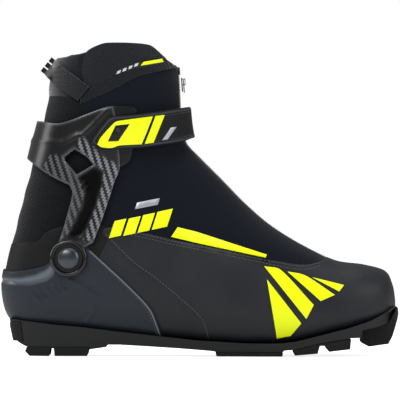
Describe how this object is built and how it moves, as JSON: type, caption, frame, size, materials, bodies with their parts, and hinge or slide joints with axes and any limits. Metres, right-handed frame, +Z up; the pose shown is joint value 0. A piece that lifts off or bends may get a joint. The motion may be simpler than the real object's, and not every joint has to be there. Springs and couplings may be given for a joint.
{
  "type": "cross country boot",
  "caption": "Right cross country skate boot: leather and softshell upper, hinged carbon cuff with strap, zip lace cover, heel counter, grooved sole and toe bar.",
  "frame": {"origin": "on the floor under the middle of the boot's length and width", "axes": "+X towards the toe, +Y towards the medial (inner) side, +Z up"},
  "size_m": [0.292, 0.099, 0.2284],
  "materials": {
    "leather": "fine grained coated leather, satin",
    "quarter_leather": "matte coated side panel",
    "softshell": "matte stretch softshell with fine weave",
    "collar_textile": "textured charcoal knit",
    "lining": "brushed padded lining",
    "board": "stiff fibre board",
    "counter": "blue grey satin TPU",
    "carbon": "glossy black shell with carbon twill",
    "wing_plastic": "satin black plastic",
    "sole_rubber": "moulded dark grey rubber",
    "tread_rubber": "black tread rubber",
    "steel": "polished bar and metal trim",
    "dark_chrome": "dark chromed domed cap",
    "washer_plastic": "black bearing washer",
    "webbing": "ribbed woven webbing",
    "yellow": "bright yellow rubber print",
    "label": "woven label with plain yellow bars"
  },
  "bodies": {
    "boot": {"outsole": "sole_rubber", "heel_insert": "tread_rubber", "toe_block": "sole_rubber", "toe_bar": "steel", "forefoot_tread_lateral": "tread_rubber", "front_tread_lateral": "tread_rubber", "heel_tread_lateral": "tread_rubber", "forefoot_tread_centre": "tread_rubber", "front_tread_centre": "tread_rubber", "forefoot_tread_medial": "tread_rubber", "front_tread_medial": "tread_rubber", "heel_tread_medial": "tread_rubber", "insole_board": "board", "footbed": "lining", "liner_foot": "lining", "tongue_foot": "lining", "vamp": "leather", "quarter_lateral": "quarter_leather", "quarter_medial": "quarter_leather", "heel_counter": "counter", "ankle_panel": "quarter_leather", "lace_cover_lateral": "softshell", "lace_cover_medial": "softshell", "flex_gusset_lateral": "softshell", "flex_gusset_medial": "softshell", "achilles_gusset": "collar_textile", "zip_teeth_lateral": "washer_plastic", "zip_teeth_medial": "washer_plastic", "laces": "webbing", "lace_loops_lateral": "webbing", "lace_loops_medial": "webbing", "pivot_rivet_lateral": "dark_chrome", "pivot_nut_lateral": "steel", "pivot_rivet_medial": "dark_chrome", "pivot_nut_medial": "steel"},
    "cuff": {"cuff": "carbon", "cuff_wing_lateral": "wing_plastic", "cuff_wing_medial": "wing_plastic", "collar_fabric": "collar_textile", "shaft_cover_lateral": "softshell", "shaft_cover_medial": "softshell", "collar_top_lateral": "collar_textile", "collar_top_medial": "collar_textile", "liner_shaft": "lining", "tongue_shin": "lining", "pull_tab": "webbing", "collar_tape": "webbing", "collar_label": "label", "zip_garage": "webbing", "strap_anchor": "webbing", "strap_plate": "yellow", "strap_rivet": "steel", "pivot_washer_lateral": "washer_plastic", "pivot_washer_medial": "washer_plastic", "lace_lock_body": "washer_plastic"},
    "strap": {"strap_band": "webbing", "hook_patch": "webbing"},
    "zip_slider": {"zip_slider": "steel"},
    "zip_pull": {"zip_pull": "steel"},
    "lace_lock_button": {"lace_lock_button": "yellow"}
  },
  "joints": [
    {"name": "cuff_lean", "type": "hinge", "parent": "boot", "child": "cuff", "pos_m": [-0.0954, 0, 0.0718], "axis": [0, 1, 0], "range_deg": [-5, 15], "stiffness_Nm_per_rad": 6, "deforming": ["flex_gusset_lateral", "flex_gusset_medial", "achilles_gusset", "zip_teeth_lateral", "zip_teeth_medial", "laces"]},
    {"name": "strap_swing", "type": "hinge", "parent": "cuff", "child": "strap", "pos_m": [-0.046, -0.0472, 0.165], "axis": [0, 0, -1], "range_deg": [0, 70]},
    {"name": "zip_slide", "type": "slide", "parent": "cuff", "child": "zip_slider", "axis": [0.0679, 0, -0.9977], "range_m": [0, 0.02]},
    {"name": "pull_flip", "type": "hinge", "parent": "zip_slider", "child": "zip_pull", "pos_m": [-0.01176, 0, 0.2021], "axis": [0, -1, 0], "range_deg": [0, 120]},
    {"name": "lock_press", "type": "slide", "parent": "cuff", "child": "lace_lock_button", "axis": [0, 0, -1], "range_m": [0, 0.0025], "stiffness_N_per_m": 400}
  ]
}
